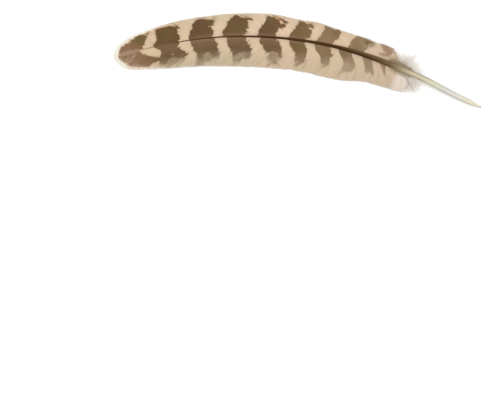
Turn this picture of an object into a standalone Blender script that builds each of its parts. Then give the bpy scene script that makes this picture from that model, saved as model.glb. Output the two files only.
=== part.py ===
"""A barred wing quill of a pheasant, lying on a flat surface with its upper side up.

The feather grew as one piece, so it is one closed body: a tapering shaft, a narrow and a wide
vane parted into locks at their edges, and loose tufts of down at their foot.
"""

import math
import random

import bmesh
import bpy
import numpy as np
from mathutils import Matrix, Vector

# Lengths are in millimetres. X runs along the feather, from its tip to the end of its quill,
# Y across it to the side of the narrow vane, and Z up from the surface that it lies on.
MM = 0.001

# The shaft's stations: along, across, height of its middle line, radius.
SHAFT = (
    (88.4, -22.3, 0.55, 0.45),
    (85.0, -20.8, 0.75, 0.9),
    (75.0, -15.9, 1.5, 1.35),
    (61.5, -9.0, 2.6, 1.48),
    (47.9, -3.3, 3.5, 1.45),
    (34.4, 1.6, 4.2, 1.25),
    (20.9, 5.7, 4.75, 1.05),
    (0.5, 10.2, 5.0, 0.85),
    (-19.8, 12.0, 4.7, 0.6),
    (-44.0, 10.9, 3.3, 0.42),
    (-64.0, 7.8, 1.6, 0.36),
    (-76.0, 5.2, 0.5, 0.35),
    (-84.2, 3.2, 0.1, 0.35),
)
SHAFT_STEPS = 44
SHAFT_SIDES_LEVEL = 2

# The vanes' guide barbs: where a barb leaves the shaft, measured along X, then its tip's place
# along and across, and the height of its tip.
NARROW_BARBS = (
    (63.0, 61.5, -4.2, 2.3),
    (58.0, 57.0, 2.6, 1.6),
    (51.5, 49.5, 5.4, 1.3),
    (42.5, 38.0, 8.9, 0.9),
    (36.0, 29.5, 12.2, 0.6),
    (19.5, 10.0, 18.2, 0.25),
    (1.0, -12.0, 22.4, 0.0),
    (-9.5, -24.0, 23.0, 0.0),
    (-31.5, -47.5, 20.9, 0.05),
    (-53.5, -68.0, 15.7, 0.1),
    (-72.5, -81.6, 10.1, 0.0),
    (-80.0, -86.8, 5.6, 0.0),
    (-84.2, -89.2, 2.4, 0.0),
)
WIDE_BARBS = (
    (63.0, 62.0, -13.6, 1.7),
    (57.0, 58.0, -15.6, 0.9),
    (50.0, 49.5, -15.0, 0.5),
    (42.0, 41.0, -13.0, 0.3),
    (34.0, 32.0, -10.3, 0.2),
    (26.5, 22.5, -9.8, 0.05),
    (6.0, -3.0, -4.7, 0.05),
    (-15.0, -27.5, -3.0, 0.15),
    (-37.5, -50.5, -3.0, 0.5),
    (-59.0, -72.5, -3.8, 0.4),
    (-75.5, -84.5, -2.0, 0.0),
    (-80.5, -88.0, 0.4, 0.0),
    (-84.2, -89.2, 2.4, 0.0),
)
ROWS = 5

# The vanes' sheet, their locks and the way a barb bends.
VANE_THICKNESS = 0.4
LOCKS = 35
LOCK_JITTER = 0.3
LOCK_RELIEF = 0.1
NOTCH = (0.5, 1.1)
SPLIT = (1.8, 3.4)
SPLIT_CHANCE = 0.12
SMOOTH_TIP = 25.0
DOWN_START = 46.0
DOWN_NOTCH_SHARE = (0.4, 0.65)
DOWN_WAVE = 0.35
OUTWARD_BEND = math.radians(12)
STRAIGHT_END = 12.0
BEND_REACH = 0.45
DROOP_AT_SHAFT = 0.35
VANE_SEAT_ON_SHAFT = 0.25

# The finishes: red, green and blue, linear, and roughness.
VANE_FINISH = ((0.42, 0.32, 0.21), 0.7)
SHAFT_FINISH = ((0.1, 0.06, 0.03), 0.4)


def read_curve(rows, key):
    """The row of a smooth curve through the rows, read where its first column is key."""
    rows = np.array(rows)
    keys = rows[:, 0]
    slopes = np.gradient(rows, keys, axis=0)
    span = int(np.clip(np.searchsorted(-keys, -key) - 1, 0, len(keys) - 2))
    width = keys[span + 1] - keys[span]
    t = (key - keys[span]) / width
    return (
        rows[span] * (2 * t**3 - 3 * t**2 + 1)
        + slopes[span] * width * (t**3 - 2 * t**2 + t)
        + rows[span + 1] * (3 * t**2 - 2 * t**3)
        + slopes[span + 1] * width * (t**3 - t**2)
    )


def barb_point(guides, outward, root, reach):
    """A point on the barb that leaves the shaft at root, at the share reach of its length."""
    along, across, height, radius = read_curve(SHAFT, root)
    foot = Vector((along, across, height + VANE_SEAT_ON_SHAFT * radius))
    tip = Vector(read_curve(guides, root)[1:])
    chord = (tip - foot).to_2d()
    bowed = min(1, (root - SHAFT[-1][0]) / STRAIGHT_END)
    bend = Matrix.Rotation(outward * OUTWARD_BEND * bowed, 2) @ (chord * BEND_REACH)
    middle = foot.to_2d() + bend
    flat = foot.to_2d() * (1 - reach) ** 2 + middle * 2 * reach * (1 - reach) + tip.to_2d() * reach**2
    drop = DROOP_AT_SHAFT * reach + (1 - DROOP_AT_SHAFT) * reach**2
    return Vector((flat.x, flat.y, foot.z + (tip.z - foot.z) * drop))


def lock_edges(seed):
    """For each column of barbs: where it leaves the shaft, and how far it reaches.

    Odd columns run down the middle of a lock, and even ones down the notch between two.
    """
    draw = random.Random(seed)
    last = 2 * LOCKS - 1
    base = NARROW_BARBS[0][0]
    end = NARROW_BARBS[-1][0]
    columns = []
    for column in range(last + 1):
        shift = draw.uniform(-LOCK_JITTER, LOCK_JITTER) if 0 < column < last else 0
        root = base + (end - base) * (column + shift) / last
        ragged = min(1, (root - end) / SMOOTH_TIP)
        notch = ragged * draw.uniform(*(SPLIT if draw.random() < SPLIT_CHANCE else NOTCH))
        share = draw.uniform(*DOWN_NOTCH_SHARE)
        wave = draw.uniform(-DOWN_WAVE, DOWN_WAVE)
        columns.append((root, notch, share, wave))
    return columns


def vane_point(guides, outward, column, columns, reach):
    """A point of the vanes' sheet: a column of barbs, at the share reach of the way to the edge."""
    root, notch, share, wave = columns[column]
    full = barb_point(guides, outward, root, 1)
    length = (full - barb_point(guides, outward, root, 0)).length
    between_locks = column % 2 == 0
    in_down = root > DOWN_START
    if between_locks:
        reach *= 1 - (share if in_down else notch / length)
    point = barb_point(guides, outward, root, reach)
    point.z += (-LOCK_RELIEF if between_locks else LOCK_RELIEF) * reach
    if in_down:
        point.z += wave * reach
    return point


def finish(name, colour, roughness):
    """A plain material with the part's colour and gloss."""
    material = bpy.data.materials.new(name)
    material.use_nodes = True
    shader = material.node_tree.nodes["Principled BSDF"]
    shader.inputs["Base Color"].default_value = (*colour, 1)
    shader.inputs["Roughness"].default_value = roughness
    shader.inputs["Metallic"].default_value = 0
    return material


def make_vanes(collection):
    """Both vanes as one sheet: a grid whose columns are barbs, from edge to edge over the shaft."""
    last = 2 * LOCKS - 1
    narrow_columns = lock_edges(seed=4)
    wide_columns = lock_edges(seed=9)
    sheet = bmesh.new()
    bmesh.ops.create_grid(sheet, x_segments=last, y_segments=2 * ROWS, size=1)
    for vertex in sheet.verts:
        column = round((vertex.co.x + 1) / 2 * last)
        row = round(vertex.co.y * ROWS)
        if row > 0:
            place = vane_point(WIDE_BARBS, 1, column, wide_columns, row / ROWS)
        else:
            place = vane_point(NARROW_BARBS, -1, column, narrow_columns, -row / ROWS)
        if row == 0:
            evenly = NARROW_BARBS[0][0] + (NARROW_BARBS[-1][0] - NARROW_BARBS[0][0]) * column / last
            place = barb_point(NARROW_BARBS, -1, evenly, 0)
        vertex.co = place * MM
    bmesh.ops.remove_doubles(sheet, verts=sheet.verts, dist=0.01 * MM)
    mesh = bpy.data.meshes.new("vanes")
    sheet.to_mesh(mesh)
    sheet.free()
    vanes = bpy.data.objects.new("vanes", mesh)
    collection.objects.link(vanes)
    mesh.materials.append(finish("barred vane", *VANE_FINISH))
    wall = vanes.modifiers.new("thickness", "SOLIDIFY")
    wall.thickness = VANE_THICKNESS * MM
    wall.offset = 0
    wall.use_quality_normals = True
    return vanes


def make_shaft(collection):
    """The shaft: a tapering rod along its stations, made a mesh with its end caps welded on."""
    curve = bpy.data.curves.new("shaft", "CURVE")
    curve.dimensions = "3D"
    curve.bevel_depth = MM
    curve.bevel_resolution = SHAFT_SIDES_LEVEL
    curve.use_fill_caps = True
    curve.materials.append(finish("shaft", *SHAFT_FINISH))
    line = curve.splines.new("POLY")
    line.points.add(SHAFT_STEPS - 1)
    for step, root in enumerate(np.linspace(SHAFT[0][0], SHAFT[-1][0], SHAFT_STEPS)):
        along, across, height, radius = read_curve(SHAFT, root)
        line.points[step].co = (along * MM, across * MM, height * MM, 1)
        line.points[step].radius = radius
    rod = bpy.data.objects.new("rod", curve)
    collection.objects.link(rod)
    bpy.context.view_layer.update()
    mesh = bpy.data.meshes.new_from_object(rod.evaluated_get(bpy.context.evaluated_depsgraph_get()))
    welded = bmesh.new()
    welded.from_mesh(mesh)
    bmesh.ops.remove_doubles(welded, verts=welded.verts, dist=0.01 * MM)
    welded.to_mesh(mesh)
    welded.free()
    shaft = bpy.data.objects.new("shaft", mesh)
    shaft.matrix_world = rod.matrix_world
    collection.objects.link(shaft)
    bpy.data.objects.remove(rod)
    shaft.hide_render = True
    shaft.display_type = "WIRE"
    return shaft


def make_feather(parts, cutters):
    """The whole feather: the vanes joined to the shaft, pressed flat where it rests."""
    vanes = make_vanes(cutters)
    join = vanes.modifiers.new("join shaft", "BOOLEAN")
    join.operation = "UNION"
    join.solver = "EXACT"
    join.material_mode = "TRANSFER"
    join.object = make_shaft(cutters)
    bpy.context.view_layer.update()
    mesh = bpy.data.meshes.new_from_object(vanes.evaluated_get(bpy.context.evaluated_depsgraph_get()))
    mesh.name = "feather"
    for vertex in mesh.vertices:
        vertex.co.z = max(vertex.co.z, 0)
    feather = bpy.data.objects.new("feather", mesh)
    parts.objects.link(feather)
    bpy.data.objects.remove(vanes)
    mesh.shade_smooth()
    mesh.set_sharp_from_angle(angle=math.radians(50))
    return feather


for old in list(bpy.data.objects):
    bpy.data.objects.remove(old)

part_collection = bpy.data.collections.new("wing quill")
cutter_collection = bpy.data.collections.new("cutters")
bpy.context.scene.collection.children.link(part_collection)
bpy.context.scene.collection.children.link(cutter_collection)
make_feather(part_collection, cutter_collection)
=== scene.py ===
import math
import random

import bmesh
import bpy
import numpy as np
from mathutils import Matrix, Vector


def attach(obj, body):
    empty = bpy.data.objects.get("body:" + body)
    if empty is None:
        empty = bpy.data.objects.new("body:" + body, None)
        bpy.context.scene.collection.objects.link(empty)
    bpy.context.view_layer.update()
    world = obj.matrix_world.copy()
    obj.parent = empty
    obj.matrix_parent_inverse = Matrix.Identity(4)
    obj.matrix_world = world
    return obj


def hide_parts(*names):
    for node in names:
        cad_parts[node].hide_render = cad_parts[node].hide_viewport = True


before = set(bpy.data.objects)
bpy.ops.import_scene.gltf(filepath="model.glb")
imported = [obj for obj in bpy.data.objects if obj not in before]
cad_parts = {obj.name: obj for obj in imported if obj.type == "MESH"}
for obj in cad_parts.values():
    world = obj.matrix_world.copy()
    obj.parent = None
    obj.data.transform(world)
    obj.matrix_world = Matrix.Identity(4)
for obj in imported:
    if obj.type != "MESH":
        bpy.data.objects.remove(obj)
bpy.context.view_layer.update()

# Lengths are in millimetres, in the solid's own frame: X runs from the feather's tip to the end of
# its quill, Y towards the narrow vane, and Z up from the surface that the feather lies on.
MM = 0.001


# The shaft. A horny tube at the foot, empty and see-through, then a solid dark rachis filled with
# pith, square in section with a groove along its underside. It grew in one piece with its barbs.

# Along, across, height of the middle line, radius.
SHAFT = (
    (88.5, -22.3, 0.5, 0.4),
    (87.2, -21.8, 0.6, 0.56),
    (84.8, -20.7, 0.96, 0.92),
    (75.0, -16.05, 1.5, 1.32),
    (61.5, -9.1, 2.6, 1.46),
    (47.9, -3.15, 3.5, 1.4),
    (34.4, 2.1, 4.2, 1.25),
    (20.9, 6.1, 4.75, 0.92),
    (0.5, 9.95, 5.0, 0.66),
    (-19.8, 11.6, 4.7, 0.48),
    (-44.0, 10.85, 3.3, 0.3),
    (-64.0, 7.8, 1.6, 0.2),
    (-76.0, 5.2, 0.5, 0.15),
    (-84.2, 3.2, 0.25, 0.08),
)
SHAFT_RINGS = 230
SHAFT_SIDES = 24
QUILL_FOOT = 60.0
VANE_FOOT = 44.0
SQUARENESS = 0.42
CORNER_POWER = 4
GROOVE_DEPTH = 0.34
GROOVE_WIDTH = 0.3
LOOK_AROUND = 0.5
# The rings of the small hole at the quill's end, from its floor out to its lip: each one's share of
# the end's radius, and how far it lies inside the end.
END_HOLE = ((0.3, 1.2), (0.5, 0.1), (0.8, -0.15))
TIP_RING = (0.4, 0.25)
SHAFT_MARKS = ("side", "top", "along")


def read_curve(rows, key):
    """The row of a smooth curve through the rows, read where its first column is key."""
    rows = np.array(rows)
    keys = rows[:, 0]
    slopes = np.gradient(rows, keys, axis=0)
    span = int(np.clip(np.searchsorted(-keys, -key) - 1, 0, len(keys) - 2))
    width = keys[span + 1] - keys[span]
    t = (key - keys[span]) / width
    return (
        rows[span] * (2 * t**3 - 3 * t**2 + 1)
        + slopes[span] * width * (t**3 - 2 * t**2 + t)
        + rows[span + 1] * (3 * t**2 - 2 * t**3)
        + slopes[span + 1] * width * (t**3 - t**2)
    )


def ease(value, start, end):
    """0 before start, 1 after end, and smooth between them. It falls where start is the larger."""
    t = min(1, max(0, (value - start) / (end - start)))
    return t * t * (3 - 2 * t)


def marked_mesh(name, places, edges, faces, labels, marks):
    """A mesh whose points keep a row of marks each, by these labels, for its material to read."""
    mesh = bpy.data.meshes.new(name)
    mesh.from_pydata([place * MM for place in places], edges, faces)
    for label, values in zip(labels, zip(*marks)):
        mesh.attributes.new(label, "FLOAT", "POINT").data.foreach_set("value", values)
    return mesh


def shaft_ring(root, radius_share=1.0, shift=0.0):
    """The places of one ring of the shaft, and each one's marks: side, upward share and root."""
    along, across, height, radius = read_curve(SHAFT, root)
    ahead = read_curve(SHAFT, max(root - LOOK_AROUND, SHAFT[-1][0]))
    behind = read_curve(SHAFT, min(root + LOOK_AROUND, SHAFT[0][0]))
    forward = Vector(ahead[:3] - behind[:3]).normalized()
    side = forward.cross(Vector((0, 0, -1))).normalized()
    up = side.cross(forward).normalized()
    if up.z < 0:
        up = -up
    rachis = ease(root, QUILL_FOOT, VANE_FOOT)
    ring = []
    for turn in range(SHAFT_SIDES):
        angle = 2 * math.pi * turn / SHAFT_SIDES
        x, y = math.cos(angle), math.sin(angle)
        square = (abs(x) ** CORNER_POWER + abs(y) ** CORNER_POWER) ** (-1 / CORNER_POWER)
        swell = 1 + SQUARENESS * rachis * (square - 1)
        groove = GROOVE_DEPTH * rachis * math.exp(-((x / GROOVE_WIDTH) ** 2)) if y < 0 else 0
        reach = radius * radius_share * swell
        place = Vector((along, across, height)) + forward * shift + side * x * reach
        ring.append((place + up * y * reach * (1 - groove), (x, y, root)))
    return ring


def add_object(name, data):
    """A new object in the scene, made of a mesh, a light or a camera."""
    made = bpy.data.objects.new(name, data)
    bpy.context.scene.collection.objects.link(made)
    return made


def build_shaft():
    """The shaft as one closed skin of rings, with the small hole at the quill's end."""
    roots = np.linspace(SHAFT[0][0], SHAFT[-1][0], SHAFT_RINGS)
    rings = [
        *[shaft_ring(SHAFT[0][0], share, depth) for share, depth in END_HOLE],
        *[shaft_ring(root) for root in roots],
        shaft_ring(SHAFT[-1][0], *TIP_RING),
    ]
    places, marks = zip(*(point for ring in rings for point in ring))
    faces = []
    for ring in range(len(rings) - 1):
        for turn in range(SHAFT_SIDES):
            a = ring * SHAFT_SIDES + turn
            b = ring * SHAFT_SIDES + (turn + 1) % SHAFT_SIDES
            faces.append((a, b, b + SHAFT_SIDES, a + SHAFT_SIDES))
    faces.append(tuple(range(SHAFT_SIDES))[::-1])
    faces.append(tuple(range((len(rings) - 1) * SHAFT_SIDES, len(rings) * SHAFT_SIDES)))
    mesh = marked_mesh("shaft", places, [], faces, SHAFT_MARKS, marks)
    skin = bmesh.new()
    skin.from_mesh(mesh)
    bmesh.ops.recalc_face_normals(skin, faces=skin.faces)
    skin.to_mesh(mesh)
    skin.free()
    mesh.shade_smooth()
    return add_object("shaft", mesh)


def plug(tree, value, socket):
    """Gives a node's socket a plain value, or the end of a wire."""
    if isinstance(value, Wire):
        tree.links.new(value.socket, socket)
    else:
        socket.default_value = value


def add_node(tree, kind, inputs=(), **settings):
    """A node with its settings made, and the sockets named in inputs given their values."""
    node = tree.nodes.new(kind)
    for name, value in settings.items():
        setattr(node, name, value)
    for name, value in dict(inputs).items():
        socket = next(s for s in node.inputs if s.enabled and s.name == name)
        plug(tree, value, socket)
    return node


def wire_through(tree, kind, values, **settings):
    """The wire out of a new node whose sockets take the values in their order."""
    node = add_node(tree, kind, **settings)
    for value, socket in zip(values, [s for s in node.inputs if s.enabled]):
        plug(tree, value, socket)
    return Wire(node)


class Wire:
    """A number or a vector on its way through a node tree, so that a rule is written as a sum."""

    def __init__(self, node, output=0):
        self.tree = node.id_data
        enabled = [s for s in node.outputs if s.enabled]
        self.socket = node.outputs[output] if isinstance(output, str) else enabled[output]

    def math(self, operation, *others):
        return wire_through(self.tree, "ShaderNodeMath", (self, *others), operation=operation)

    def __add__(self, other):
        return self.math("ADD", other)

    def __sub__(self, other):
        return self.math("SUBTRACT", other)

    def __mul__(self, other):
        return self.math("MULTIPLY", other)

    def __truediv__(self, other):
        return self.math("DIVIDE", other)

    def rises(self, start, end):
        """0 up to start and 1 from end on, smooth between them. It falls where start is larger."""
        values = (self, start, end)
        return wire_through(self.tree, "ShaderNodeMapRange", values, interpolation_type="SMOOTHSTEP")


def wire_from(tree, kind, inputs=(), output=0, **settings):
    """The wire out of a new node, from its first output or the one that is named."""
    return Wire(add_node(tree, kind, inputs, **settings), output)


# A white sheet comes out this many times brighter than its own colour in the studio's light.
STUDIO_LIGHT = 1.24


def from_srgb(*colour):
    """The linear colour of a surface that looks like this, from 0 to 255, in the studio's light."""
    shares = [c / 255 for c in colour]
    linear = [c / 12.92 if c < 0.04045 else ((c + 0.055) / 1.055) ** 2.4 for c in shares]
    return [*(c / STUDIO_LIGHT for c in linear), 1]


def colour_run(value, *stops):
    """The colour that goes with a number, by stops of the number and its red, green and blue."""
    start, end = stops[0][0], stops[-1][0]
    node = value.tree.nodes.new("ShaderNodeValToRGB")
    ramp = node.color_ramp
    while len(ramp.elements) < len(stops):
        ramp.elements.new(0.5)
    for element, (place, *colour) in zip(ramp.elements, stops):
        element.position = (place - start) / (end - start)
        element.color = from_srgb(*colour)
    plug(value.tree, (value - start) / (end - start), node.inputs["Fac"])
    return Wire(node)


def blend_colours(share, first, second, kind="MIX"):
    """The second colour over the first, by the share. The share or the first colour is a wire."""
    tree = share.tree if isinstance(share, Wire) else first.tree
    values = (share, first, second)
    return wire_through(tree, "ShaderNodeMix", values, data_type="RGBA", blend_type=kind)


def stained(colour, *stains):
    """The colour with stains laid over it in turn, each from its share and its own colour."""
    for share, stain in stains:
        colour = blend_colours(share, colour, from_srgb(*stain))
    return colour


def attributes(tree, names):
    """The numbers that the mesh keeps under these names."""
    kind = "ShaderNodeAttribute"
    return [wire_from(tree, kind, output="Fac", attribute_name=name) for name in names]


def noise(place, scale, detail=2, roughness=0.5):
    """A soft random pattern, from 0 to 1."""
    inputs = {"Vector": place, "Scale": scale, "Detail": detail, "Roughness": roughness}
    return wire_from(place.tree, "ShaderNodeTexNoise", inputs, "Fac")


def start_material(name):
    """A new material, and its node tree."""
    material = bpy.data.materials.new(name)
    material.use_nodes = True
    return material, material.node_tree


def end_material(material, values):
    """Gives the sockets of a material's principled shader their wires and plain values."""
    shader = material.node_tree.nodes["Principled BSDF"]
    for name, value in values.items():
        plug(material.node_tree, value, shader.inputs[name])
    return material


def in_object_space(tree, stretch=(1, 1, 1)):
    """The point's place on the piece, stretched along each axis."""
    place = wire_from(tree, "ShaderNodeTexCoord", output="Object")
    return wire_from(tree, "ShaderNodeMapping", {"Vector": place, "Scale": stretch})


def horn_finish():
    """Dark brown horn on the rachis, clear greenish horn on the quill, with painted shade, highlight and
    reflection.
    """
    material, tree = start_material("shaft horn")
    side, top, along = attributes(tree, SHAFT_MARKS)
    grain = noise(in_object_space(tree, (120, 1500, 1500)), 1, 3)
    hair_lines = noise(in_object_space(tree, (160, 6000, 6000)), 1)
    rachis = along.rises(50, 43)
    quill = rachis * -1 + 1
    tone = colour_run(
        along + (grain - 0.5) * 3,
        (-84, 170, 140, 116), (-76, 178, 148, 122), (-71, 168, 136, 106),
        (-68, 132, 108, 78), (-61, 126, 100, 70), (-57, 90, 62, 36),
        (-40, 80, 54, 28), (-20, 72, 46, 20), (22, 72, 46, 18),
        (32, 80, 55, 27), (40, 98, 73, 47), (45, 118, 95, 64),
        (50, 162, 146, 114), (55, 204, 192, 166), (62, 216, 210, 186),
        (69, 216, 220, 196), (73, 226, 218, 216), (79, 228, 224, 208),
        (84, 234, 226, 200), (87, 236, 224, 204), (88.5, 200, 198, 184),
    )
    # Painted shade and highlight: the rachis is darkened along its wide-vane side and lightened along
    # its narrow-vane side, as if lit from the narrow vane's side.
    painted_shade_wide_side = side.rises(0, 0.6) * rachis * (along.rises(30, 43) * -0.5 + 0.85)
    painted_highlight_narrow_side = side.rises(0.1, -0.5) * rachis * along.rises(14, 34)
    tone = stained(tone, (painted_shade_wide_side, (42, 20, 0)), (painted_highlight_narrow_side * 0.5, (120, 95, 68)))
    # Painted shade: both edges of the clear quill are darkened, standing in for the dark rims that
    # refraction gives a clear tube. The edge tone holds a yellow-green painted glint at 64 mm.
    edge_shade_tone = colour_run(
        along,
        (44, 116, 104, 74), (52, 132, 120, 92), (60, 156, 148, 130),
        (64, 176, 174, 120), (67, 168, 166, 160), (78, 164, 162, 150),
        (84, 176, 170, 148), (88, 200, 196, 180),
    )
    painted_edge_shade = (side * side).rises(0.3, 0.75) * top.rises(-0.05, 0.15) * quill
    tone = blend_colours(painted_edge_shade * 0.85, tone, edge_shade_tone)
    # Painted reflection: a grey line inside the quill's narrow-vane edge, standing in for its inner wall
    # seen through the clear horn.
    painted_reflection_line = (side + 0.42).math("ABSOLUTE").rises(0.2, 0.06)
    painted_reflection_line = painted_reflection_line * along.rises(66, 69) * along.rises(78, 74)
    # Painted shade at the quill's foot: on its wide-vane side, and in a line along its narrow-vane side.
    shade_side = side.rises(0, 0.5) * along.rises(46, 52) * along.rises(66, 58)
    painted_narrow_side_shade = side.rises(-0.3, -0.65) * along.rises(50, 54) * along.rises(66, 63)
    groove = top.rises(-0.1, -0.5) * rachis
    tone = stained(
        tone,
        (painted_reflection_line * 0.4, (188, 184, 186)),
        (shade_side * 0.5, (176, 166, 134)),
        (painted_narrow_side_shade * 0.6, (150, 138, 112)),
        (groove, (196, 178, 142)),
    )
    tone = blend_colours((hair_lines - 0.4) * 0.4, tone, from_srgb(116, 92, 60), "MULTIPLY")
    inputs = {"Strength": 0.25, "Distance": 0.04 * MM, "Height": grain + hair_lines}
    values = {
        "Base Color": tone,
        "Roughness": 0.42,
        "Specular IOR Level": 0.2,
        "Specular Tint": (0.7, 0.5, 0.3, 1),
        "Normal": wire_from(tree, "ShaderNodeBump", inputs),
    }
    return end_material(material, values)


shaft = build_shaft()
shaft.data.materials.append(horn_finish())
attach(shaft, "root")
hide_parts("feather")


# The narrow vane, which leads in flight: a row of barbs that grew out of the shaft's side. They
# hook into each other, so that they make a web that parts only into locks at its margin.

# A guide barb's root on the shaft, along X, then the place along and across of its tip and the
# tip's height.
NARROW_GUIDES = (
    (63.0, 61.5, -4.2, 2.3),
    (58.0, 57.0, 2.6, 1.6),
    (51.5, 49.5, 5.5, 1.3),
    (46.1, 42.6, 7.9, 1.05),
    (42.5, 38.0, 9.1, 0.9),
    (39.4, 34.3, 10.8, 0.75),
    (36.0, 29.5, 12.2, 0.6),
    (28.0, 20.0, 15.3, 0.48),
    (24.3, 15.7, 16.7, 0.42),
    (19.5, 10.0, 18.7, 0.35),
    (12.9, 2.2, 19.9, 0.28),
    (1.0, -12.0, 22.8, 0.2),
    (-9.5, -24.0, 23.2, 0.15),
    (-31.5, -47.5, 21.4, 0.2),
    (-53.5, -68.0, 16.7, 0.2),
    (-72.5, -82.1, 11.0, 0.15),
    (-80.0, -87.4, 6.5, 0.15),
    (-84.2, -89.2, 2.5, 0.15),
)
OUTWARD_BEND = math.radians(12)
STRAIGHT_END = 12.0
BEND_REACH = 0.45
DROOP_AT_SHAFT = 0.35
SEAT_ON_SHAFT = 0.25
LINE_POINTS = 600
POINTS_PAST_TIP = 60
EDGE_POINTS = 60
FAR_OUTSIDE = -9.0
THINNEST_BAR = 0.5
SPOT_EDGE = (1.5, 0.5)
BED_COLUMNS = 170
BED_ROWS = 26
BED_MARKS = ("along", "across", "left", "rim", "solid", "faded", "through", "dark", "warm")


def barb_point(guides, outward, root, reach):
    """A point on the barb that leaves the shaft at root, at the share reach of its length."""
    along, across, height, radius = read_curve(SHAFT, root)
    foot = Vector((along, across, height + SEAT_ON_SHAFT * radius))
    tip = Vector(read_curve(guides, root)[1:])
    chord = (tip - foot).to_2d()
    bowed = min(1, (root - SHAFT[-1][0]) / STRAIGHT_END)
    bend = Matrix.Rotation(outward * OUTWARD_BEND * bowed, 2) @ (chord * BEND_REACH)
    middle = foot.to_2d() + bend
    flat = foot.to_2d() * (1 - reach) ** 2 + middle * 2 * reach * (1 - reach) + tip.to_2d() * reach**2
    drop = DROOP_AT_SHAFT * reach + (1 - DROOP_AT_SHAFT) * reach**2
    return Vector((flat.x, flat.y, foot.z + (tip.z - foot.z) * drop))


def shaft_line():
    """Closely set points on the shaft's plan, and past its tip in a straight line."""
    roots = np.linspace(SHAFT[0][0], SHAFT[-1][0], LINE_POINTS)
    line = np.array([read_curve(SHAFT, root)[:2] for root in roots])
    step = line[-1] - line[-2]
    return np.vstack([line, line[-1] + np.outer(np.arange(1, POINTS_PAST_TIP), step)])


def drawn_bars(lines, bars):
    """The bars with their edges read at closely set distances out from the shaft."""
    outs = np.linspace(0, lines[-1], EDGE_POINTS)

    def drawn(edge):
        rows = np.column_stack((lines, edge))[::-1]
        return outs, [read_curve(rows, out)[1] for out in outs]

    return [(drawn(tip_edge), drawn(foot_edge), *rest) for tip_edge, foot_edge, *rest in bars]


def bar_at(bars, along, across):
    """A place's depth in the nearest bar, solid and faded, how far through it, and its darkness."""
    found = (FAR_OUTSIDE, FAR_OUTSIDE, 0.5, 0.0)
    for tip_edge, foot_edge, solid_ends, faded_ends, darkness in bars:
        start, end = np.interp(across, *tip_edge), np.interp(across, *foot_edge)
        inside = min(along - start, end - along)
        through = (along - start) / max(end - start, THINNEST_BAR)
        solid_end, faded_end = (
            np.interp(through, np.linspace(0, 1, len(ends)), ends) for ends in (solid_ends, faded_ends)
        )
        faded = min(inside, faded_end - across)
        if faded > found[1]:
            found = (min(inside, solid_end - across), faded, through, darkness)
    return found


def spot_at(spots, along, across):
    """What the spots add at a place, to a bar's depth or to the warmth. Each is a soft oval."""
    added = 0
    for spot_along, spot_across, half_along, half_across, amount in spots:
        away = math.hypot((along - spot_along) / half_along, (across - spot_across) / half_across)
        added += amount * ease(away, *SPOT_EDGE)
    return added


def build_bed(name, guides, outward, start, lines, bars, rims, spots, tints):
    """The smooth sheet that a vane's barbs follow, from its first barb to the feather's tip.

    Its UV map holds the root's share of the way to the tip and the reach along the barb. Its points
    keep their place along the shaft and out from it, the barb's length left, and the markings.
    """
    line = shaft_line()
    bars = drawn_bars(lines, bars)
    roots = np.linspace(start, SHAFT[-1][0], BED_COLUMNS)
    points, marks = [], []
    for root in roots:
        barb = [barb_point(guides, outward, root, reach) for reach in np.linspace(0, 1, BED_ROWS)]
        lengths = [0, *np.cumsum([(b - a).length for a, b in zip(barb, barb[1:])])]
        for point, length in zip(barb, lengths):
            gap = np.hypot(*(line - np.array(point.to_2d())).T)
            along, across = float(line[gap.argmin()][0]), float(gap.min())
            solid, faded, through, darkness = bar_at(bars, along, across)
            spot = spot_at(spots, along, across)
            left = lengths[-1] - length
            rim = left / np.interp(along, *zip(*rims))
            warm = spot_at(tints, along, across)
            depths = (solid + spot, faded + spot)
            points.append(point)
            marks.append((along, across, left, rim, *depths, through, darkness, warm))
    firsts = [c * BED_ROWS + r for c in range(BED_COLUMNS - 1) for r in range(BED_ROWS - 1)]
    cells = [(a, a + BED_ROWS, a + BED_ROWS + 1, a + 1) for a in firsts]
    mesh = marked_mesh(name, points, [], cells, BED_MARKS, marks)
    layer = mesh.uv_layers.new(name="place")
    for loop in mesh.loops:
        column, row = divmod(loop.vertex_index, BED_ROWS)
        layer.data[loop.index].uv = (column / (BED_COLUMNS - 1), row / (BED_ROWS - 1))
    return add_object(name, mesh)


def shape(tree, kind, inputs=(), **settings):
    """The wire out of a new geometry node of this kind."""
    return wire_from(tree, f"GeometryNode{kind}", inputs, **settings)


def new_tree(name, **inputs):
    """A geometry tree with its inputs, named kind by kind, and the wire that each one starts."""
    tree = bpy.data.node_groups.new(name, "GeometryNodeTree")
    tree.interface.new_socket("Geometry", in_out="OUTPUT", socket_type="NodeSocketGeometry")
    for kind, labels in inputs.items():
        for label in labels:
            tree.interface.new_socket(label, in_out="INPUT", socket_type=f"NodeSocket{kind}")
    source = tree.nodes.new("NodeGroupInput")
    return tree, {label: Wire(source, label) for labels in inputs.values() for label in labels}


def finish_tree(geometry, material):
    """Ends a tree: real mesh in place of instances, the material, and the way out."""
    tree = geometry.tree
    real = shape(tree, "RealizeInstances", {"Geometry": geometry})
    dressed = shape(tree, "SetMaterial", {"Geometry": real, "Material": material})
    tree.links.new(dressed.socket, tree.nodes.new("NodeGroupOutput").inputs[0])
    return tree


def grow(name, base, tree, values):
    """The plain mesh that a tree makes from the base object, as a piece of its own."""
    maker = base.modifiers.new(tree.name, "NODES")
    maker.node_group = tree
    for item in tree.interface.items_tree:
        if item.in_out == "INPUT" and item.name in values:
            maker[item.identifier] = values[item.name]
    bpy.context.view_layer.update()
    mesh = bpy.data.meshes.new_from_object(base.evaluated_get(bpy.context.evaluated_depsgraph_get()))
    base.modifiers.clear()
    mesh.name = name
    return add_object(name, mesh)


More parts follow.
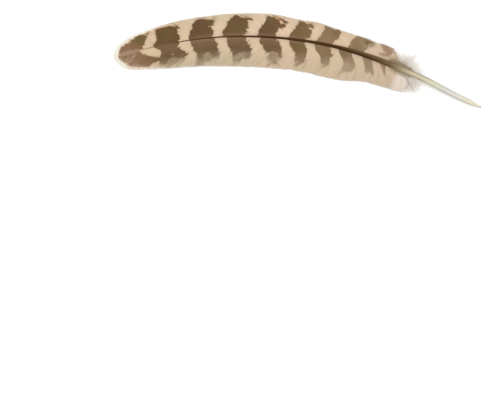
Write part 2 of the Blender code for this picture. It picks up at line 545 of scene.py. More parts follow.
def vector(tree, **parts):
    """A vector from its X, Y and Z. A part that isn't given is 0."""
    return wire_from(tree, "ShaderNodeCombineXYZ", parts)


def chance(low, high, which, seed):
    """A random number from low to high, one for each value of which."""
    inputs = {"Min": low, "Max": high, "ID": which, "Seed": seed}
    return wire_from(which.tree, "FunctionNodeRandomValue", inputs, data_type="FLOAT")


def vector_math(operation, first, *others):
    """A vector sum, product or the like of a wire and what follows it."""
    values = (first, *others)
    return wire_through(first.tree, "ShaderNodeVectorMath", values, operation=operation)


def keep(geometry, name, value, kind="FLOAT"):
    """Stores a value on each point of the geometry, under a name."""
    inputs = {"Geometry": geometry, "Name": name, "Value": value}
    return shape(geometry.tree, "StoreNamedAttribute", inputs, data_type=kind)


def kept(tree, name, kind="FLOAT"):
    """Reads a value stored on the geometry."""
    return shape(tree, "InputNamedAttribute", {"Name": name}, data_type=kind)


def within(value):
    """A share kept just inside the bed's edges."""
    return value.math("MAXIMUM", 0.0005).math("MINIMUM", 0.9995)


def swept(curves, section, scale):
    """Closed bodies along the curves, with the section scaled at each point."""
    inputs = {"Curve": curves, "Profile Curve": section, "Scale": scale, "Fill Caps": True}
    return shape(curves.tree, "CurveToMesh", inputs)


# How far beside and ahead of a point the bed is read, for a barb's width and its direction.
BESIDE = 0.01
AHEAD = 0.02


def barb_tree():
    """The tree that lays barbs on a bed: ridged blades, parted into locks towards their tips."""
    tree, given = new_tree(
        "barbs",
        Geometry=("Bed",),
        Int=("Barbs", "Steps", "Seed"),
        Float=("Locks", "Parting", "Shingle", "Cover", "Ridge", "Loose from", "Ragged"),
        Material=("Finish",),
    )

    def draw(low, high, which, shift):
        """A random number for each value of which. Each shift is a draw of its own."""
        return chance(low, high, which, given["Seed"] + shift)

    def drift(value, scale):
        """A soft noise along a number."""
        inputs = {"W": value, "Scale": scale}
        return wire_from(tree, "ShaderNodeTexNoise", inputs, noise_dimensions="1D")

    def read(value, root_share, reach, kind="FLOAT_VECTOR"):
        """A value of the bed, at a root's share of the shaft and a reach along the barb."""
        spot = vector(tree, X=root_share, Y=reach)
        uv_map = kept(tree, "place", "FLOAT_VECTOR")
        inputs = {"Mesh": given["Bed"], "Value": value, "UV Map": uv_map, "Sample UV": spot}
        return shape(tree, "SampleUVSurface", inputs, data_type=kind)

    # A point's barb, how far out along it the point lies, and where on the shaft the barb grew.
    index = shape(tree, "InputIndex")
    barb = (index / given["Steps"] + 0.0001).math("FLOOR")
    reach = (index - barb * given["Steps"]) / (given["Steps"] - 1)
    share = (barb + 0.5 + draw(-0.25, 0.25, barb, 0)) / given["Barbs"]

    # The lock that holds the barb. Locks open towards their tips, and the first barbs are loose.
    lock_place = (share + draw(0, 0.002, barb, 1)) * given["Locks"]
    lock_place = lock_place + drift(lock_place, 0.4) * 2
    lock = lock_place.math("FLOOR")
    in_lock = lock_place - lock - 0.5
    opens_at = draw(0.35, 0.8, lock, 2)
    open_share = draw(0, 1, lock, 3)
    opening = open_share * open_share * reach.rises(opens_at, 1.1) * given["Parting"]
    loose = share.rises(given["Loose from"], 0)
    swing = draw(-0.25, 0.25, lock, 4) * reach.rises(0.3, 1.2) * (loose + given["Parting"])
    stray = draw(-1, 1, barb, 5) * reach * reach * loose
    wave = (reach * 9 + draw(0, 6.3, barb, 14)).math("SINE") * reach * loose
    root_share = share + (swing - in_lock * opening) / given["Locks"] + stray * 0.012 + wave * 0.002
    length = draw(0.98, 1, barb, 6) - draw(0, 0.03, lock, 15)
    length = length - loose * draw(0, 0.25, barb, 7)

    # Where the point's markings are read. It jumps from barb to barb, which frays a bar's edge.
    jag = (drift(barb, 0.23) - 0.5) * 0.2
    jag = jag + draw(-0.02, 0.02, barb, 12) + draw(-0.03, 0.03, lock, 13)
    through = read(kept(tree, "through"), within(share), within(reach), "FLOAT")
    jag = jag * (through.rises(0.2, 0.8) * 0.6 + 0.4) * given["Ragged"]
    seen_share, seen_reach = within(share), within(reach * length + jag)

    # The point's place on the bed, and how wide the barb is there to cover the gap to the next.
    position = shape(tree, "InputPosition")
    normal = shape(tree, "InputNormal")
    here_share, here_reach = within(root_share), within(reach * length)
    here = read(position, here_share, here_reach)
    beside = read(position, within(here_share - BESIDE), here_reach)
    before = read(position, here_share, within(here_reach - AHEAD))
    after = read(position, here_share, within(here_reach + AHEAD))
    up = read(normal, here_share, here_reach)
    along_barb = vector_math("NORMALIZE", vector_math("SUBTRACT", after, before))
    gap = vector_math("SUBTRACT", beside, here)
    spacing = vector_math("LENGTH", vector_math("CROSS_PRODUCT", gap, along_barb))
    half = spacing / BESIDE / given["Barbs"] * 0.5 * given["Cover"]
    left = read(kept(tree, "left"), here_share, here_reach, "FLOAT")
    half = half * (left.rises(-0.3, 1.2) * 0.9 + 0.1) * (loose * -0.7 + 1)
    lift = in_lock * reach.rises(0.05, 0.9) * given["Shingle"] + draw(0, 0.00003, barb, 8)
    lift = lift + loose * reach * draw(-0.0005, 0.0008, barb, 9)

    shades = {"barb": draw(0, 1, barb, 10), "lock": draw(0, 1, lock, 11)}
    marks = {"half": half, "reach": reach, "root": share, **shades}
    for mark in BED_MARKS:
        marks[mark] = read(kept(tree, mark), seen_share, seen_reach, "FLOAT")
    points = shape(tree, "Points", {"Count": given["Barbs"] * given["Steps"], "Position": here})
    for mark, value in marks.items():
        points = keep(points, mark, value)
    points = keep(points, "up", up, "FLOAT_VECTOR")
    inputs = {"Geometry": points, "Offset": vector_math("SCALE", up, lift)}
    points = shape(tree, "SetPosition", inputs)
    inputs = {"Points": points, "Curve Group ID": barb, "Weight": reach}
    curves = shape(tree, "PointsToCurves", inputs)
    inputs = {"Curve": curves, "Normal": kept(tree, "up", "FLOAT_VECTOR")}
    curves = shape(tree, "SetCurveNormal", inputs, mode="FREE")
    section = shape(tree, "CurvePrimitiveCircle", {"Resolution": 4, "Radius": 1.0})
    inputs = {"Geometry": section, "Scale": vector(tree, X=given["Ridge"], Y=1.0, Z=1.0)}
    section = shape(tree, "Transform", inputs)
    blades = swept(curves, section, kept(tree, "half"))
    blades = shape(tree, "SetShadeSmooth", {"Geometry": blades, "Shade Smooth": False})
    return finish_tree(blades, given["Finish"])


# A dark bar: the places along the shaft of its edge towards the tip, then of its edge towards the
# foot, each at the vane's lines out from the shaft. Then how far out it is solid and how far out
# its faded part reaches, each from its tip side to its foot side, and how dark it is. The first
# bar runs on past the feather's tip.
PAST_TIP = (-120,) * 5
NARROW_LINES = (0.0, 2.5, 5.0, 7.5, 10.0)
NARROW_BARS = (
    (PAST_TIP, (-74.6, -73.1, -71.4, -69.4, -68.8), (12,), (12,), 1.0),
    ((-69.6, -67.9, -67.1, -66.8, -66.0), (-57.8, -56.4, -56.9, -56.0, -55.4),
     (9.2, 8.5, 8.0), (9.6, 9.0), 1.0),
    ((-52.1, -51.7, -50.7, -49.6, -46.8), (-41.2, -40.4, -40.5, -39.1, -38.6),
     (10.4, 10.0, 9.2, 9.0, 8.8), (10.6, 10), 1.0),
    ((-36.1, -35.9, -34.5, -33.0, -31.0), (-25.4, -24.4, -24.0, -23.5, -22.6),
     (10.6, 10.4, 9.1, 8.7, 9.0), (10.8, 10), 1.0),
    ((-19.6, -18.9, -17.6, -15.9, -15.0), (-10.9, -9.9, -8.0, -6.4, -6.0),
     (10.4, 10.2, 9.6, 8.6), (10.6, 10), 1.0),
    ((-4.5, -4.2, -2.0, -1.0, -0.4), (4.4, 5.8, 6.4, 7.4, 6.4),
     (9.6, 9.2, 8.3, 8.3), (9.8, 9.2), 1.0),
    ((8.4, 10.0, 11.1, 11.8, 11.4), (16.8, 17.7, 19.1, 19.6, 19.2),
     (9.6, 9.0, 8.3, 8.9), (9.8, 9.2), 1.0),
    ((23.4, 24.3, 25.1, 26.6, 30.0), (30.8, 32.2, 33.8, 34.6, 33.6),
     (8.6, 8.6, 3.0), (9.0,), 1.0),
    ((36.0, 36.6, 39.4, 37.6, 37.4), (40.2, 40.4, 45.6, 46.0, 45.0),
     (8.6, 7.4, 6.0), (9.0,), 0.8),
)

# A spot: its place along and out from the shaft, its half lengths, and what it adds there, to a
# bar, or to the brown's warmth. The warmth is olive below nothing and golden above one.
NARROW_SPOTS = (
    (-41.8, 5.5, 1.6, 0.3, -2.6),
    (-23.0, 8.6, 1.5, 0.4, 3.0),
    (-8.5, 7.6, 0.9, 1.0, -2.8),
    (-6.3, 7.9, 0.8, 0.6, 4.0),
    (-7.0, 6.2, 0.7, 0.6, 3.0),
    (5.8, 6.0, 1.4, 0.35, -3.5),
    (15.6, 9.0, 1.4, 0.5, -2.0),
    (33.0, 6.8, 1.9, 0.5, 3.0),
    (33.6, 5.4, 1.4, 0.25, 1.6),
    (39.6, 4.2, 2.2, 0.5, -3.0),
    (38.4, 1.8, 2.2, 1.4, -1.6),
    (45.4, 4.7, 2.4, 1.0, -3.0),
    (42.8, 3.0, 2.2, 1.3, 0.8),
)
NARROW_TINTS = (
    (-65.3, 8.0, 1.9, 0.8, 0.6),
    (-82.2, 3.9, 0.8, 0.7, 1.3),
    (-80.0, 3.2, 0.9, 0.7, 0.4),
    (-74.6, 5.0, 3.2, 2.6, -0.7),
    (-58.5, 8.7, 2.6, 0.5, 1.5),
    (-42.5, 9.8, 2.2, 0.4, 1.5),
    (-41.2, 7.0, 1.8, 1.4, -0.5),
    (-29.0, 5.0, 5.0, 3.0, -0.35),
    (-25.5, 9.5, 2.0, 0.5, 1.7),
    (-13.5, 9.3, 2.0, 1.0, -0.8),
    (-10.4, 9.6, 1.4, 0.6, 2.0),
    (-8.5, 7.6, 0.8, 1.1, 2.0),
    (0.8, 8.4, 1.8, 1.0, -0.4),
    (3.9, 8.7, 1.9, 0.6, 1.9),
    (17.5, 7.6, 2.0, 1.6, -0.4),
    (33.0, 6.6, 2.6, 1.8, -0.9),
    (41.0, 6.6, 3.0, 1.6, 0.35),
)

# The pale rim's width, in order along the feather.
NARROW_RIM = (
    (-89, 2.5), (-84, 2.0), (-79, 2.1), (-75, 2.5), (-71, 2.4), (-66, 2.0), (-56, 1.6), (-50, 0.9),
    (-8, 1.0), (6, 0.4), (60, 0.3),
)


def barred_finish(name, fade, nibble):
    """Cream web with brown bars, whose edges step from barb to barb.

    With a fade of 1 the bars fade out towards the margin. The nibble is how far the margin end of
    a bar's foot edge is eaten away.
    """
    material, tree = start_material(name)
    along, across, left, rim, solid, faded, through, dark, warm = attributes(tree, BED_MARKS)
    root, barb, lock = attributes(tree, ("root", "barb", "lock"))
    place = in_object_space(tree)
    streak_place = vector(tree, X=root * 140, Y=across * 0.3)
    streak = noise(streak_place, 0.8, 3, 0.65)
    fleck = noise(streak_place, 2.6, 2, 0.6)
    cloud = noise(place, 240, 3)
    wash = noise(place, 110, 1)
    ragged = streak + fleck - 1

    nick = left.rises(2.6, 0.8) * through.rises(0.3, 0.75) * ragged.rises(-0.1, 0.08) * nibble
    nick = nick * along.rises(-60, -52) * along.rises(16, 6)
    outward = across.rises(4.5, 9.5) * fade
    torn = along.rises(20, 0) * 0.8 * fade + (1 - 0.8 * fade)
    clear_of_rim = (rim - 1) * 0.9
    blot = (cloud - 0.5) * 2.2
    inside = solid.math("SMOOTH_MIN", clear_of_rim, 1.2).math("MINIMUM", 2.4)
    combed = outward * 3.5 + along.rises(-62, -70) * fade * 1.6 + 0.6
    inside = inside + (blot + ragged * combed) * torn - nick * 3
    soft = faded.math("SMOOTH_MIN", clear_of_rim, 1.2).math("MINIMUM", 2.4) + (blot + ragged * 6) * torn
    half_tone = soft.rises(-0.8, 1.6) * (ragged.rises(-0.2, 0.15) * 0.28 + 0.42)
    bar = (inside.rises(-0.25, 0.35) * (outward * -0.2 + 1)).math("MAXIMUM", half_tone)
    dots = along.rises(-77, -80) * across.rises(1, 2) * fleck.rises(0.5, 0.62) * fade
    bar = bar * dark * (dots * -0.4 + 1)

    ground = colour_run(
        along,
        (-88, 226, 204, 176), (-71, 211, 185, 154), (-60, 217, 191, 160),
        (-20, 218, 191, 163), (20, 214, 189, 160), (40, 206, 183, 157),
        (47.5, 206, 183, 158), (50.5, 236, 223, 208), (56, 242, 234, 222),
    )
    green = across.rises(5, 12) * (along.rises(-10, -32) * 0.65 + 0.15)
    tan = along.rises(37, 41) * across.rises(5.8, 4.2) * (1 - fade)
    ground = stained(
        ground,
        (green, (205, 190, 157)),
        (across.rises(4, 13) * 0.35, (204, 184, 158)),
        (wash.rises(0.55, 0.8) * 0.3, (205, 191, 156)),
        (wash.rises(0.5, 0.3) * 0.4, (221, 190, 168)),
        (tan * 0.7, (184, 160, 134)),
    )
    brown = colour_run(
        along,
        (-86, 150, 118, 94), (-80, 136, 104, 78), (-72, 120, 90, 60),
        (-66, 100, 73, 46), (-15, 102, 75, 51), (0, 115, 89, 60),
        (12, 139, 112, 84), (25, 144, 116, 90), (34, 158, 135, 109),
        (42, 152, 120, 96),
    )
    inner = across.rises(7, 3) * along.rises(12, -20) * fade
    bleached = across.rises(2.5, 7.5) * along.rises(10, 26) * fade
    centre = across.rises(1.4, 0.4) * along.rises(-74, -78)
    brown = stained(
        brown,
        (inner * 0.3, (150, 122, 96)),
        (wash.rises(0.45, 0.7) * 0.35, (112, 92, 56)),
        (warm.math("MAXIMUM", 0), (130, 78, 44)),
        ((warm * -1).math("MAXIMUM", 0), (108, 90, 50)),
        (bleached * 0.85, (166, 144, 118)),
        (centre * 0.7, (172, 143, 120)),
    )
    gold = warm.rises(0.9, 1.6) * (ragged.rises(0.15, -0.1) * 0.5 + 0.4)
    by_shaft = across.rises(2.4, 0.9) * along.rises(-58, -46) * along.rises(34, 6)
    # Painted shade: at the vane's foot the web beside the shaft is darkened to olive, as barb bases
    # lying in shade.
    foot = along.rises(43, 48) * across.rises(4, 1.4)
    colour = stained(
        blend_colours(bar, ground, brown),
        (nick * solid.rises(-0.4, 0.4) * 0.5, (214, 186, 136)),
        (gold, (206, 182, 132)),
        (by_shaft * 0.16, (180, 148, 128)),
        (foot * 0.85, (156, 140, 106)),
    )
    rim_tone = colour_run(
        along,
        (-89, 242, 241, 226), (-84, 238, 230, 212), (-78, 243, 236, 220),
        (-70, 250, 248, 234), (-66, 236, 210, 194), (-62, 230, 206, 186),
        (-59, 208, 199, 154), (-55, 216, 202, 164), (-50, 228, 208, 180),
    )
    rim_tone = stained(rim_tone, (along.rises(-85, -81) * fade, (238, 217, 198)))
    pale_rim = rim.rises(1.1, 0.8) * (along.rises(-64, -70) * 0.45 + 0.5)
    colour = blend_colours(pale_rim, colour, rim_tone)
    hem = left.rises(0.7, 0.15) * along.rises(-58, -46)
    colour = stained(colour, (hem * 0.5, (180, 172, 144)))

    # Each barb and each lock is a little lighter or darker than the next, and flecked.
    # Painted shadow: next to the shaft the wide vane's web is darkened, as if shaded by the shaft.
    painted_shaft_shadow = across.rises(3.4, 0.8) * along.rises(-4, 26) * fade
    grain = (fleck - 0.5) * (along.rises(30, 44) * 0.3 + 0.28)
    value = (barb - 0.5) * 0.08 + (lock - 0.5) * 0.05 + grain + 0.98 - painted_shaft_shadow * 0.14
    tone_and_painted_shadow = wire_through(tree, "ShaderNodeCombineColor", (value,) * 3)
    colour = blend_colours(1.0, colour, tone_and_painted_shadow, "MULTIPLY")
    normal = wire_from(tree, "ShaderNodeNewGeometry", output="Normal")
    facing = wire_from(tree, "ShaderNodeSeparateXYZ", {"Vector": normal}, "Z")
    values = {
        "Base Color": stained(colour, (facing.rises(0, -0.2) * 0.5, (210, 198, 180))),
        "Roughness": 0.6,
        "Specular IOR Level": 0.2,
        "Specular Tint": (0.85, 0.7, 0.5, 1),
    }
    return end_material(material, values)


def grow_vane(name, bed, barbs, steps, finish, seed):
    """A vane: the barbs that the tree lays on its bed, as a piece of the feather."""
    sizes = {
        "Barbs": 430,
        "Steps": steps,
        "Locks": 46.0,
        "Parting": 0.08,
        "Shingle": 0.2 * MM,
        "Cover": 1.4,
        "Ridge": 0.22,
        "Loose from": 0.035,
        "Ragged": 0.8,
        "Seed": seed,
        "Finish": finish,
    }
    vane = grow(name, bed, barbs, sizes)
    bpy.data.objects.remove(bed)
    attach(vane, "root")
    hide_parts("feather")


barbs = barb_tree()
looks = (NARROW_LINES, NARROW_BARS, NARROW_RIM, NARROW_SPOTS, NARROW_TINTS)
bed = build_bed("narrow_bed", NARROW_GUIDES, -1, 51.0, *looks)
grow_vane("narrow_vane", bed, barbs, 22, barred_finish("narrow vane web", 0.0, 1.0), 11)


# The wide vane, which trails in flight. It is made as the narrow one is, of longer and softer
# barbs, and its bars fade out towards its margin.
WIDE_GUIDES = (
    (63.0, 62.0, -13.6, 1.7),
    (57.0, 58.0, -15.6, 0.9),
    (50.0, 49.5, -15.0, 0.5),
    (42.0, 41.0, -13.0, 0.35),
    (34.0, 32.0, -10.3, 0.25),
    (26.5, 22.5, -9.8, 0.2),
    (6.0, -3.0, -4.7, 0.2),
    (-15.0, -27.5, -3.0, 0.25),
    (-37.5, -50.5, -3.0, 0.5),
    (-59.0, -72.5, -4.3, 0.4),
    (-75.5, -84.6, -3.1, 0.15),
    (-80.5, -88.1, -0.2, 0.15),
    (-84.2, -89.2, 2.5, 0.15),
)
WIDE_LINES = (0.0, 3.0, 6.0, 9.0, 12.0)
WIDE_BARS = (
    (PAST_TIP, (-76.9, -73.6, -68.2, -73.8, -73.0), (13,), (13,), 1.0),
    ((-70.0, -66.4, -67.6, -68.4, -66.8), (-56.8, -57.2, -54.5, -56.2, -58.0),
     (10.4, 9.6, 6.8, 8.4, 8.4), (12.6, 12.0, 10.4, 10.6, 9.0), 1.0),
    ((-52.0, -51.3, -50.4, -49.8, -50.2), (-40.6, -38.8, -38.3, -38.4, -41.0),
     (9.8, 9.2, 7.6, 9.6, 9.4), (13.0, 12.6, 11.6, 11.4, 10.6), 1.0),
    ((-34.4, -34.2, -32.9, -31.5, -31.5), (-24.8, -23.7, -22.2, -21.9, -25.0),
     (9.6, 9.6, 8.2, 8.6, 8.8), (13.6, 13.4, 12.0, 10.6, 9.4), 1.0),
    ((-19.0, -17.9, -15.6, -14.1, -13.6), (-10.6, -8.4, -7.0, -6.5, -8.6),
     (8.0, 7.8, 7.6, 9.3, 9.4), (13.2, 13.0, 12.8, 13.0), 1.0),
    ((-4.3, -3.2, -0.9, 0.3, 0.8), (3.4, 4.5, 5.8, 5.6, 5.2),
     (10.2, 10.4, 10.4, 10.0), (13.6, 12.6, 11.2, 10.8), 1.0),
    ((7.8, 9.2, 11.7, 12.9, 13.2), (15.6, 17.0, 17.1, 17.4, 15.4),
     (9.6, 9.8, 9.8, 9.4), (12.8, 12.8, 11.0, 10.0), 1.0),
    ((19.0, 21.3, 23.5, 23.7, 22.6), (26.0, 27.4, 29.6, 29.5, 25.0),
     (10.4, 10.6, 10.8, 10.0), (13.8, 13.0, 11.0), 1.0),
    ((30.6, 32.7, 34.3, 35.0, 35.6), (35.8, 37.3, 38.9, 40.2, 41.0),
     (7.6,), (8.0,), 1.0),
    ((39.2, 41.4, 44.0, 46.0, 48.0), (42.8, 43.6, 45.0, 47.4, 49.4),
     (6.0,), (7.4,), 0.85),
)
WIDE_SPOTS = (
    (-68.2, 6.6, 2.6, 0.6, 3.0),
    (-61.2, 5.2, 0.6, 0.6, -4.0),
    (-44.6, 8.0, 0.8, 1.2, -2.5),
    (-27.2, 8.6, 0.9, 0.9, -1.5),
    (-23.8, 9.9, 1.4, 1.0, 2.0),
    (-10.8, 8.3, 0.7, 1.0, -2.0),
    (-8.9, 10.6, 0.7, 0.7, -2.0),
    (0.0, 11.4, 1.4, 1.6, 1.0),
    (17.6, 4.2, 1.0, 0.6, 2.0),
)
WIDE_TINTS = (
    (-65.5, 9.0, 3.0, 2.0, -0.5),
    (-48.0, 7.0, 3.0, 3.0, -0.6),
    (-12.5, 10.5, 2.0, 2.0, -0.7),
    (-17.5, 2.0, 1.5, 1.0, -0.5),
    (0.0, 2.5, 3.0, 2.0, -0.25),
    (24.5, 11.0, 2.2, 1.8, -0.8),
)
WIDE_RIM = ((-89, 2.6), (-84, 2.5), (-74, 2.4), (-68, 1.7), (-58, 0.8), (60, 0.5))

looks = (WIDE_LINES, WIDE_BARS, WIDE_RIM, WIDE_SPOTS, WIDE_TINTS)
bed = build_bed("wide_bed", WIDE_GUIDES, 1, 54.5, *looks)
grow_vane("wide_vane", bed, barbs, 30, barred_finish("wide vane web", 1.0, 0.0), 47)


# The down. At the vanes' foot the barbs carry no hooks: their barbules are long fine threads that
# stand out on all sides, so that they make a loose pale fluff beside the quill.

# A row of free barbs: the side of the shaft, their number, their first and last roots, then the
# ranges of the heading away from the shaft's own in degrees, of the length and of the end's height.
DOWN_SIDES = (
    (1, 28, 47.0, 57.5, (56, 100), (4.5, 9.5), (0.25, 1.6)),
    (-1, 18, 50.0, 60.0, (62, 112), (6.0, 11.0), (0.25, 1.6)),
)
# The fringes: short barbs beside the shaft at the foot. Their olive tone is painted shade of the barb
# bases there.
FRINGES = (
    (1, 112, 42.5, 54.0, (9, 30), (3.0, 5.5), (3.2, 4.2)),
    (-1, 80, 43.5, 55.0, (6, 22), (3.0, 5.0), (2.6, 3.8)),
)
# The vanes' own last barbs: their guides and side, their number, and their first and last roots.
FOOT_BARBS = ((NARROW_GUIDES, -1, 16, 47.0, 54.5), (WIDE_GUIDES, 1, 34, 48.0, 58.0))
DOWN_MARKS = ("tone", "buff", "olive")

# A free barb starts on the shaft's side, at these shares of its radius up and out. It curls by up to
# so many degrees in all and wanders by so many at each step. At each step it settles by a share of
# its height, give or take a little, and it stays clear of the surface.
DOWN_STEPS = 10
DOWN_ROOT_UP = 0.1
DOWN_ROOT_OUT = 0.95
DOWN_CURL = 38
DOWN_WANDER = 9
DOWN_SETTLE = 0.28
DOWN_JITTER = 0.1
DOWN_CLEAR = 0.2

# Towards the foot a fringe barb grows shorter and less olive: by what share, from where to where.
FRINGE_SHORTER = (0.65, 46, 54)
FRINGE_PALER = (0.3, 50, 58)

# How far the tip of one of the vane's last barbs drifts along the shaft and lifts, and its length.
# Those before this place are buff, by a share of their own.
FOOT_DRIFT = 0.9
FOOT_LIFT = (-0.4, 0.5)
FOOT_LENGTH = (0.75, 1.02)
BUFF_END = 53
FOOT_BUFF = (0.7, 1.0)

# A few single barbs: how dark each one is, and its places.
STRAYS = (
    (1.0, ((51.2, -6.8, 3.4), (53.0, -9.4, 3.0), (54.7, -12.0, 2.2), (56.5, -15.2, 1.2))),
    (0.35, ((50.4, -3.6, 3.6), (52.6, -0.8, 2.8), (54.8, 1.2, 2.0), (56.4, 2.4, 1.5), (57.2, 3.4, 1.2))),
    (0.4, ((51.6, -4.0, 3.4), (54.0, -1.0, 2.4), (56.0, 0.8, 1.6), (57.4, 2.8, 1.0))),
    (0.35, ((49.4, -3.0, 3.8), (52.6, 0.2, 2.4), (55.4, 1.8, 1.6), (58.0, 3.0, 1.1))),
)


def towards(heading):
    """A level step of length 1 in the direction of the heading."""
    return Vector((math.cos(heading), math.sin(heading), 0))


def free_barb(draw, root, side, headings, length, heights):
    """A down barb that leaves the shaft's side, and wanders outwards and down."""
    along, across, height, radius = read_curve(SHAFT, root)
    ahead = read_curve(SHAFT, root + 1)
    footward = math.atan2(ahead[1] - across, ahead[0] - along)
    heading = footward + side * math.radians(draw.uniform(*headings))
    curl = math.radians(draw.uniform(-DOWN_CURL, DOWN_CURL))
    low = draw.uniform(*heights)
    place = Vector((along, across, height + DOWN_ROOT_UP * radius))
    place += towards(footward + side * math.pi / 2) * DOWN_ROOT_OUT * radius
    places = []
    for _ in range(DOWN_STEPS):
        places.append(place.copy())
        heading += curl / DOWN_STEPS + math.radians(draw.uniform(-DOWN_WANDER, DOWN_WANDER))
        place += towards(heading) * length / DOWN_STEPS
        place.z += (low - place.z) * DOWN_SETTLE + draw.uniform(-DOWN_JITTER, DOWN_JITTER)
        place.z = max(place.z, DOWN_CLEAR)
    return places


def foot_barb(draw, guides, outward, root):
    """One of the vane's last barbs, loose from its neighbours."""
    drift = draw.uniform(-FOOT_DRIFT, FOOT_DRIFT)
    lift = draw.uniform(*FOOT_LIFT)
    length = draw.uniform(*FOOT_LENGTH)
    places = []
    for reach in np.linspace(0, length, DOWN_STEPS):
        place = barb_point(guides, outward, root + drift * reach**2, reach)
        place.z = max(DOWN_CLEAR, place.z + lift * reach)
        places.append(place)
    return places


def down_lines():
    """The lines of all the loose barbs, with how dark, how buff and how olive each of them is."""
    draw = random.Random(21)
    shorter, *shorter_from = FRINGE_SHORTER
    paler, *paler_from = FRINGE_PALER
    barbs = []
    for sides, fringe in ((DOWN_SIDES, 0.0), (FRINGES, 1.0)):
        for side, number, first, last, headings, lengths, heights in sides:
            for barb in range(number):
                root = first + (last - first) * (barb + draw.random()) / number
                length = draw.uniform(*lengths) * (1 - shorter * fringe * ease(root, *shorter_from))
                line = free_barb(draw, root, side, headings, length, heights)
                barbs.append((line, 0.0, 0.0, fringe * (1 - paler * ease(root, *paler_from))))
    for guides, outward, number, first, last in FOOT_BARBS:
        for barb in range(number):
            root = first + (last - first) * (barb + draw.random()) / number
            buff = ease(root, BUFF_END, first) * draw.uniform(*FOOT_BUFF)
            barbs.append((foot_barb(draw, guides, outward, root), 0.0, buff, 0.0))
    barbs += [([Vector(place) for place in places], dark, 0.0, 0.0) for dark, places in STRAYS]
    points, edges, marks = [], [], []
    for places, *tones in barbs:
        edges += [(len(points) + step, len(points) + step + 1) for step in range(len(places) - 1)]
        points += places
        marks += [tones] * len(places)
    return add_object("down_lines", marked_mesh("down_lines", points, edges, [], DOWN_MARKS, marks))


# How finely and how far the barbules waver, and how low they may come.
WAVER_SCALE = 900
WAVER_SIZE = 0.6 * MM
LOWEST_THREAD = 0.05 * MM


def down_tree():
    """The tree that turns the down barbs' lines to threads, and sets barbules all along them."""
    tree, given = new_tree(
        "down",
        Geometry=("Lines",),
        Float=("Spacing", "Length", "Thread"),
        Int=("Seed",),
        Material=("Finish",),
    )

    # The barbs, thinner towards their tips.
    curves = shape(tree, "MeshToCurve", {"Mesh": given["Lines"]})
    curves = keep(curves, "run", shape(tree, "SplineParameter", output="Factor"))
    run, tone, buff, olive = (kept(tree, mark) for mark in ("run", *DOWN_MARKS))
    profile = shape(tree, "CurvePrimitiveCircle", {"Resolution": 3, "Radius": 1.0})
    thick = given["Thread"] * (run * -1.2 + 2) * (tone.rises(0.5, 0.9) * 3 + olive * 0.4 + 1)
    stems = swept(curves, profile, thick)

    # A barbule at each spot along them, turned about the barb at random and bent towards its tip.
    inputs = {"Curve": curves, "Length": given["Spacing"]}
    spots = add_node(tree, "GeometryNodeCurveToPoints", inputs, mode="LENGTH")
    index = shape(tree, "InputIndex")
    inputs = {"Vector": Wire(spots, "Tangent")}
    aim = wire_from(tree, "FunctionNodeAlignRotationToVector", inputs, axis="Z")
    turn = vector(tree, Z=chance(0, 6.283, index, given["Seed"]))
    turn = wire_from(tree, "FunctionNodeEulerToRotation", {"Euler": turn})
    inputs = {"Rotation": aim, "Rotate By": turn}
    aim = wire_from(tree, "FunctionNodeRotateRotation", inputs, rotation_space="LOCAL")
    reach = given["Length"]
    middle = vector(tree, X=reach * 0.5, Z=reach * 0.1)
    end = vector(tree, X=reach * 0.85, Z=reach * 0.55)
    inputs = {"Resolution": 3, "Start": (0, 0, 0), "Middle": middle, "End": end}
    barbule = shape(tree, "CurveQuadraticBezier", inputs)
    size = chance(0.45, 1.1, index, given["Seed"] + 1) * (run * -0.5 + 1)
    size = size * (tone.rises(0.9, 0.5) * 0.75 + 0.25) * (buff * -0.35 + 1) * (olive * -0.6 + 1)
    size = size * (run * 3 + olive + run.rises(0.1, 0.2) * buff).rises(0, 0.7)
    inputs = {"Points": Wire(spots), "Instance": barbule, "Rotation": aim, "Scale": size}
    threads = shape(tree, "InstanceOnPoints", inputs)
    threads = shape(tree, "RealizeInstances", {"Geometry": threads})

    # The barbules waver by a noise, and stay above the surface.
    here = shape(tree, "InputPosition")
    waver = wire_from(tree, "ShaderNodeTexNoise", {"Vector": here, "Scale": WAVER_SCALE}, "Color")
    waver = vector_math("SUBTRACT", waver, (0.5, 0.5, 0.5))
    there = vector_math("ADD", here, vector_math("SCALE", waver, WAVER_SIZE))
    there = vector_math("MAXIMUM", there, (-1, -1, LOWEST_THREAD))
    threads = shape(tree, "SetPosition", {"Geometry": threads, "Position": there})
    threads = swept(threads, profile, given["Thread"] * (olive * 0.2 + tone + 0.6))
    joined = add_node(tree, "GeometryNodeJoinGeometry")
    for part in (stems, threads):
        tree.links.new(part.socket, joined.inputs[0])
    return finish_tree(Wire(joined), given["Finish"])


def down_finish():
    """Soft off-white threads, warmer at the vanes' foot, and a few darker stray barbs."""
    material, tree = start_material("down threads")
    run, tone, buff, olive = attributes(tree, ("run", *DOWN_MARKS))
    drift = noise(in_object_space(tree), 300)
    colour = blend_colours(run, (0.97, 0.89, 0.77, 1), (0.98, 0.93, 0.89, 1))
    colour = blend_colours(drift.rises(0.4, 0.7) * 0.6, colour, (0.97, 0.91, 0.82, 1))
    colour = blend_colours(buff, colour, (0.95, 0.82, 0.67, 1))
    # The olive on the fringes is painted shade beside the shaft. The strays' darker tone is their own.
    colour = stained(colour, (olive, (194, 173, 130)), (tone, (166, 144, 120)))
    values = {"Base Color": colour, "Roughness": 0.8, "Specular IOR Level": 0.2, "Sheen Weight": 0.6}
    return end_material(material, values)


lines = down_lines()
sizes = {
    "Spacing": 0.18 * MM,
    "Length": 1.9 * MM,
    "Thread": 0.033 * MM,
    "Seed": 5,
    "Finish": down_finish(),
}
down = grow("down", lines, down_tree(), sizes)
bpy.data.objects.remove(lines)
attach(down, "root")
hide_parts("feather")


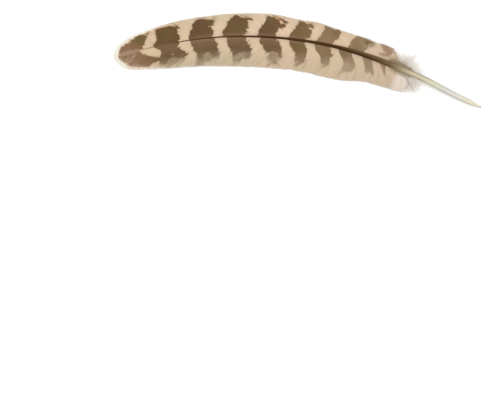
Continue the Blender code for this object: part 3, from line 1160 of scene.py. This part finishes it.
# The floor, the light and the camera: a plain white sheet, soft light from the far side, and a
# camera straight above, as the photograph was taken.
PHOTO_SCALE = 0.4826
PHOTO_MIDDLE = (250, 200)
FEATHER_MIDDLE = (297.4, 60.85)
PHOTO_WIDTH = 500
LENS = 400
SENSOR = 36
FLOOR_HALF = 4000 * MM
FLOOR_DROP = 0.2 * MM
SKY_STRENGTH = 0.91

floor_mesh = bpy.data.meshes.new("floor")
sheet = bmesh.new()
bmesh.ops.create_grid(sheet, x_segments=1, y_segments=1, size=FLOOR_HALF)
bmesh.ops.translate(sheet, verts=sheet.verts, vec=(0, 0, -FLOOR_DROP))
sheet.to_mesh(floor_mesh)
sheet.free()
paper, _ = start_material("white paper")
end_material(paper, {"Base Color": (0.95, 0.95, 0.95, 1), "Roughness": 0.9})
floor_mesh.materials.append(paper)
floor = add_object("floor", floor_mesh)

world = bpy.data.worlds.new("studio")
world.use_nodes = True
sky = world.node_tree.nodes["Background"]
sky.inputs["Color"].default_value = (1, 1, 1, 1)
sky.inputs["Strength"].default_value = SKY_STRENGTH
bpy.context.scene.world = world

for name, place, size, power in (
    ("key light", (-0.35, 0.9, 1.3), 0.9, 12.0),
    ("fill light", (0.5, -0.8, 1.1), 1.2, 3.2),
):
    light = bpy.data.lights.new(name, "AREA")
    light.size = size
    light.energy = power
    lamp = add_object(name, light)
    lamp.location = place
    lamp.rotation_euler = (-Vector(place)).to_track_quat("-Z", "Y").to_euler()

camera = bpy.data.cameras.new("camera")
camera.lens = LENS
camera.sensor_width = SENSOR
eye = add_object("camera", camera)
height = PHOTO_WIDTH * PHOTO_SCALE * LENS / SENSOR
eye.location = (
    (PHOTO_MIDDLE[0] - FEATHER_MIDDLE[0]) * PHOTO_SCALE * MM,
    (FEATHER_MIDDLE[1] - PHOTO_MIDDLE[1]) * PHOTO_SCALE * MM,
    height * MM,
)
camera.clip_start = 0.01
camera.clip_end = 20
bpy.context.scene.camera = eye
bpy.context.scene.view_settings.view_transform = "Standard"
